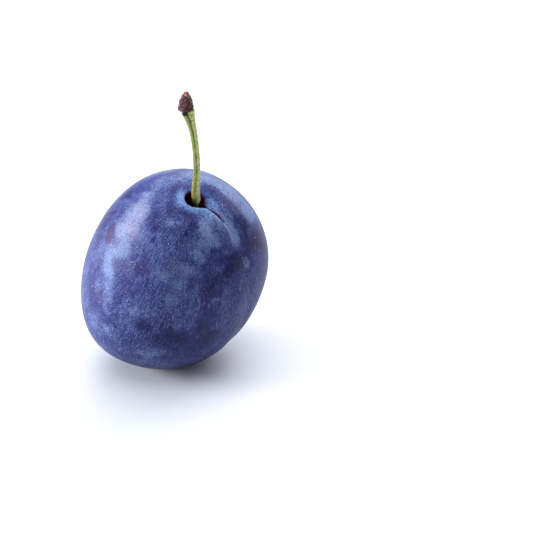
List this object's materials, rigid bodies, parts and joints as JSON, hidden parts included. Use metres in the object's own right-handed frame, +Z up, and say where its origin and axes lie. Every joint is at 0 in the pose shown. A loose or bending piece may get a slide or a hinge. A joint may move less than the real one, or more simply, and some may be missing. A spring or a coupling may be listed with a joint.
{
  "type": "plum",
  "caption": "Ripe blue plum, an oval fruit with a soft bloom, a folded stalk bowl and its stalk with a corky knob, resting on a small flat spot.",
  "frame": {"origin": "on the surface that the plum rests on, in the small flat spot that it rests on", "axes": "+Z up; the stalk stands up from the upper end; -Y faces the viewer of the stalk bowl and its fold, +X to that viewer's right"},
  "size_m": [0.0396, 0.0388, 0.0653],
  "materials": {
    "fruit_skin": "dark blue-violet skin under a waxy pale blue bloom, rubbed darker and glossier in patches",
    "stalk_green": "dull yellow-green, streaked and finely downy, browner at its foot",
    "knob_cork": "dry red-brown scale rings with paler edges"
  },
  "bodies": {
    "root": {"fruit": "fruit_skin", "stalk": "stalk_green", "stalk_knob": "knob_cork"}
  },
  "joints": []
}
